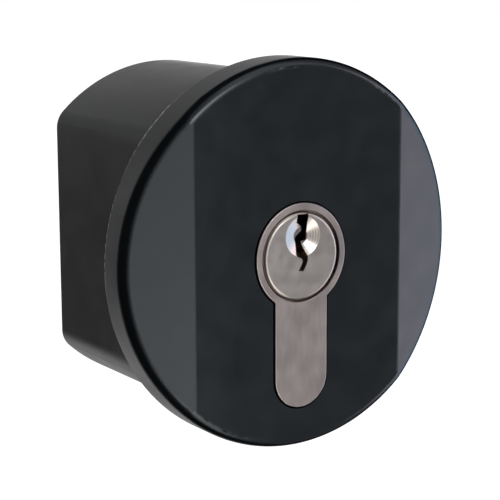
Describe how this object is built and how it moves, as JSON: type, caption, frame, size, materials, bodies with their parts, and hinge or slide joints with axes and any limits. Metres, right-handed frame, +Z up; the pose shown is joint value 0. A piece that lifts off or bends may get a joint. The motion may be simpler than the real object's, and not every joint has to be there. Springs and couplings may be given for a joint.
{
  "type": "panic exit outside lock",
  "caption": "Round black outside lock for a panic exit door: a faceted plate on a drum with two flats, holding a profile half cylinder whose cam turns a square-socket rotor",
  "frame": {"origin": "centre of the face that lies on the door, on the plug's axis", "axes": "+Y into the door along the plug's axis, +Z up, +X to the right seen from outside; the lock stands out towards -Y"},
  "size_m": [0.062, 0.0427, 0.062],
  "materials": {
    "black_powder_coat": "satin black powder coat on cast zinc alloy",
    "nickel_plated_brass": "satin nickel plating on brass",
    "nickel_plated_plug": "satin nickel plating on brass, turned face",
    "zinc_plated_steel": "zinc plated sheet steel",
    "screw_steel": "zinc plated steel",
    "pin_brass": "turned brass",
    "pin_steel": "hardened turned steel",
    "sintered_steel": "sintered steel, matt",
    "machined_steel": "machined steel, zinc plated",
    "spring_steel": "bright spring wire",
    "bush_nylon": "natural nylon"
  },
  "bodies": {
    "housing": {"front_plate": "black_powder_coat", "housing_drum": "black_powder_coat", "back_plate": "zinc_plated_steel", "cylinder_bracket": "zinc_plated_steel", "front_plate_screws": "screw_steel", "back_plate_screws": "screw_steel", "cylinder_fixing_screw": "screw_steel", "cylinder_body": "nickel_plated_brass", "chamber_plugs": "pin_brass", "rotor_bush": "bush_nylon", "pin_spring_1": "spring_steel", "pin_spring_2": "spring_steel", "pin_spring_3": "spring_steel", "pin_spring_4": "spring_steel", "pin_spring_5": "spring_steel"},
    "plug": {"cylinder_plug": "nickel_plated_plug", "cam": "sintered_steel", "cam_circlip": "spring_steel"},
    "rotor": {"drive_rotor": "machined_steel"},
    "key_pin_body_1": {"key_pin_1": "pin_brass"},
    "driver_pin_body_1": {"driver_pin_1": "pin_steel"},
    "key_pin_body_2": {"key_pin_2": "pin_brass"},
    "driver_pin_body_2": {"driver_pin_2": "pin_steel"},
    "key_pin_body_3": {"key_pin_3": "pin_brass"},
    "driver_pin_body_3": {"driver_pin_3": "pin_steel"},
    "key_pin_body_4": {"key_pin_4": "pin_brass"},
    "driver_pin_body_4": {"driver_pin_4": "pin_steel"},
    "key_pin_body_5": {"key_pin_5": "pin_brass"},
    "driver_pin_body_5": {"driver_pin_5": "pin_steel"}
  },
  "joints": [
    {"name": "plug_turn", "type": "hinge", "parent": "housing", "child": "plug", "pos_m": [0, -0.0277, 0], "axis": [0, 1, 0], "continuous": true},
    {"name": "rotor_turn", "type": "hinge", "parent": "housing", "child": "rotor", "pos_m": [0, -0.0035, 0], "axis": [0, 1, 0], "continuous": true},
    {"name": "key_pin_1_slide", "type": "slide", "parent": "plug", "child": "key_pin_body_1", "axis": [0, 0, 1], "range_m": [0, 0.0023]},
    {"name": "driver_pin_1_slide", "type": "slide", "parent": "housing", "child": "driver_pin_body_1", "axis": [0, 0, -1], "range_m": [0, 0.0025], "stiffness_N_per_m": 150, "springref_m": -0.002, "deforming": ["pin_spring_1"]},
    {"name": "key_pin_2_slide", "type": "slide", "parent": "plug", "child": "key_pin_body_2", "axis": [0, 0, 1], "range_m": [0, 0.0015]},
    {"name": "driver_pin_2_slide", "type": "slide", "parent": "housing", "child": "driver_pin_body_2", "axis": [0, 0, -1], "range_m": [0, 0.0025], "stiffness_N_per_m": 150, "springref_m": -0.002, "deforming": ["pin_spring_2"]},
    {"name": "key_pin_3_slide", "type": "slide", "parent": "plug", "child": "key_pin_body_3", "axis": [0, 0, 1], "range_m": [0, 0.002]},
    {"name": "driver_pin_3_slide", "type": "slide", "parent": "housing", "child": "driver_pin_body_3", "axis": [0, 0, -1], "range_m": [0, 0.0025], "stiffness_N_per_m": 150, "springref_m": -0.002, "deforming": ["pin_spring_3"]},
    {"name": "key_pin_4_slide", "type": "slide", "parent": "plug", "child": "key_pin_body_4", "axis": [0, 0, 1], "range_m": [0, 0.0012]},
    {"name": "driver_pin_4_slide", "type": "slide", "parent": "housing", "child": "driver_pin_body_4", "axis": [0, 0, -1], "range_m": [0, 0.0025], "stiffness_N_per_m": 150, "springref_m": -0.002, "deforming": ["pin_spring_4"]},
    {"name": "key_pin_5_slide", "type": "slide", "parent": "plug", "child": "key_pin_body_5", "axis": [0, 0, 1], "range_m": [0, 0.0018]},
    {"name": "driver_pin_5_slide", "type": "slide", "parent": "housing", "child": "driver_pin_body_5", "axis": [0, 0, -1], "range_m": [0, 0.0025], "stiffness_N_per_m": 150, "springref_m": -0.002, "deforming": ["pin_spring_5"]}
  ],
  "couplings": [
    {"joint": "rotor_turn", "follows": "plug_turn", "ratio": 1}
  ]
}
